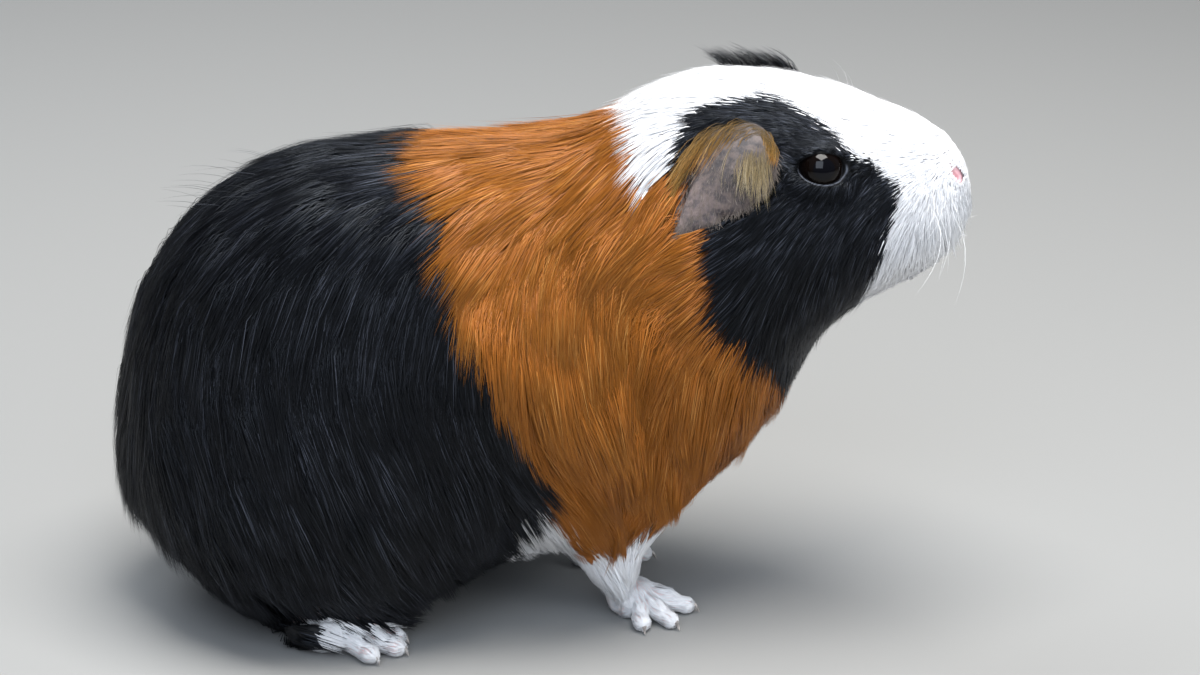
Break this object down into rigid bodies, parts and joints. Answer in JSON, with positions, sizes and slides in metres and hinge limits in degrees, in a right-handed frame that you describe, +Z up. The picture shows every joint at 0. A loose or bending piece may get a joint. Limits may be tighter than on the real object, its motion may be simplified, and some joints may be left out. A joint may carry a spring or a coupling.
{
  "type": "guinea pig",
  "caption": "Short-coated guinea pig with black, ginger and white markings, crouched on all fours with its head lifted and its petal-shaped ears hanging.",
  "frame": {"origin": "on the floor under the middle of the model's box", "axes": "+X towards the nose, along the animal's length; +Y its left side; +Z up"},
  "size_m": [0.2284, 0.1132, 0.1473],
  "materials": {
    "black_coat": "glossy black hair",
    "ginger_coat": "glossy ginger hair",
    "white_coat": "soft white hair",
    "foot_skin": "pink skin under sparse white hair",
    "ear_skin": "grey-pink skin with a fine down",
    "nose_skin": "moist pink skin",
    "eye_black": "wet, glossy black",
    "claw_horn": "translucent grey-brown horn"
  },
  "bodies": {
    "root": {"head": "white_coat", "nose": "nose_skin", "neck": "ginger_coat", "trunk": "black_coat", "haunch_right": "black_coat", "eye_right": "eye_black", "ear_right": "ear_skin", "foreleg_right": "white_coat", "forefoot_right": "foot_skin", "hindfoot_right": "foot_skin", "haunch_left": "black_coat", "eye_left": "eye_black", "ear_left": "ear_skin", "foreleg_left": "white_coat", "forefoot_left": "foot_skin", "hindfoot_left": "foot_skin", "claw_forefoot_right_1": "claw_horn", "claw_forefoot_right_2": "claw_horn", "claw_forefoot_right_3": "claw_horn", "claw_forefoot_right_4": "claw_horn", "claw_hindfoot_right_1": "claw_horn", "claw_hindfoot_right_2": "claw_horn", "claw_hindfoot_right_3": "claw_horn", "claw_forefoot_left_1": "claw_horn", "claw_forefoot_left_2": "claw_horn", "claw_forefoot_left_3": "claw_horn", "claw_forefoot_left_4": "claw_horn", "claw_hindfoot_left_1": "claw_horn", "claw_hindfoot_left_2": "claw_horn", "claw_hindfoot_left_3": "claw_horn"}
  },
  "joints": []
}
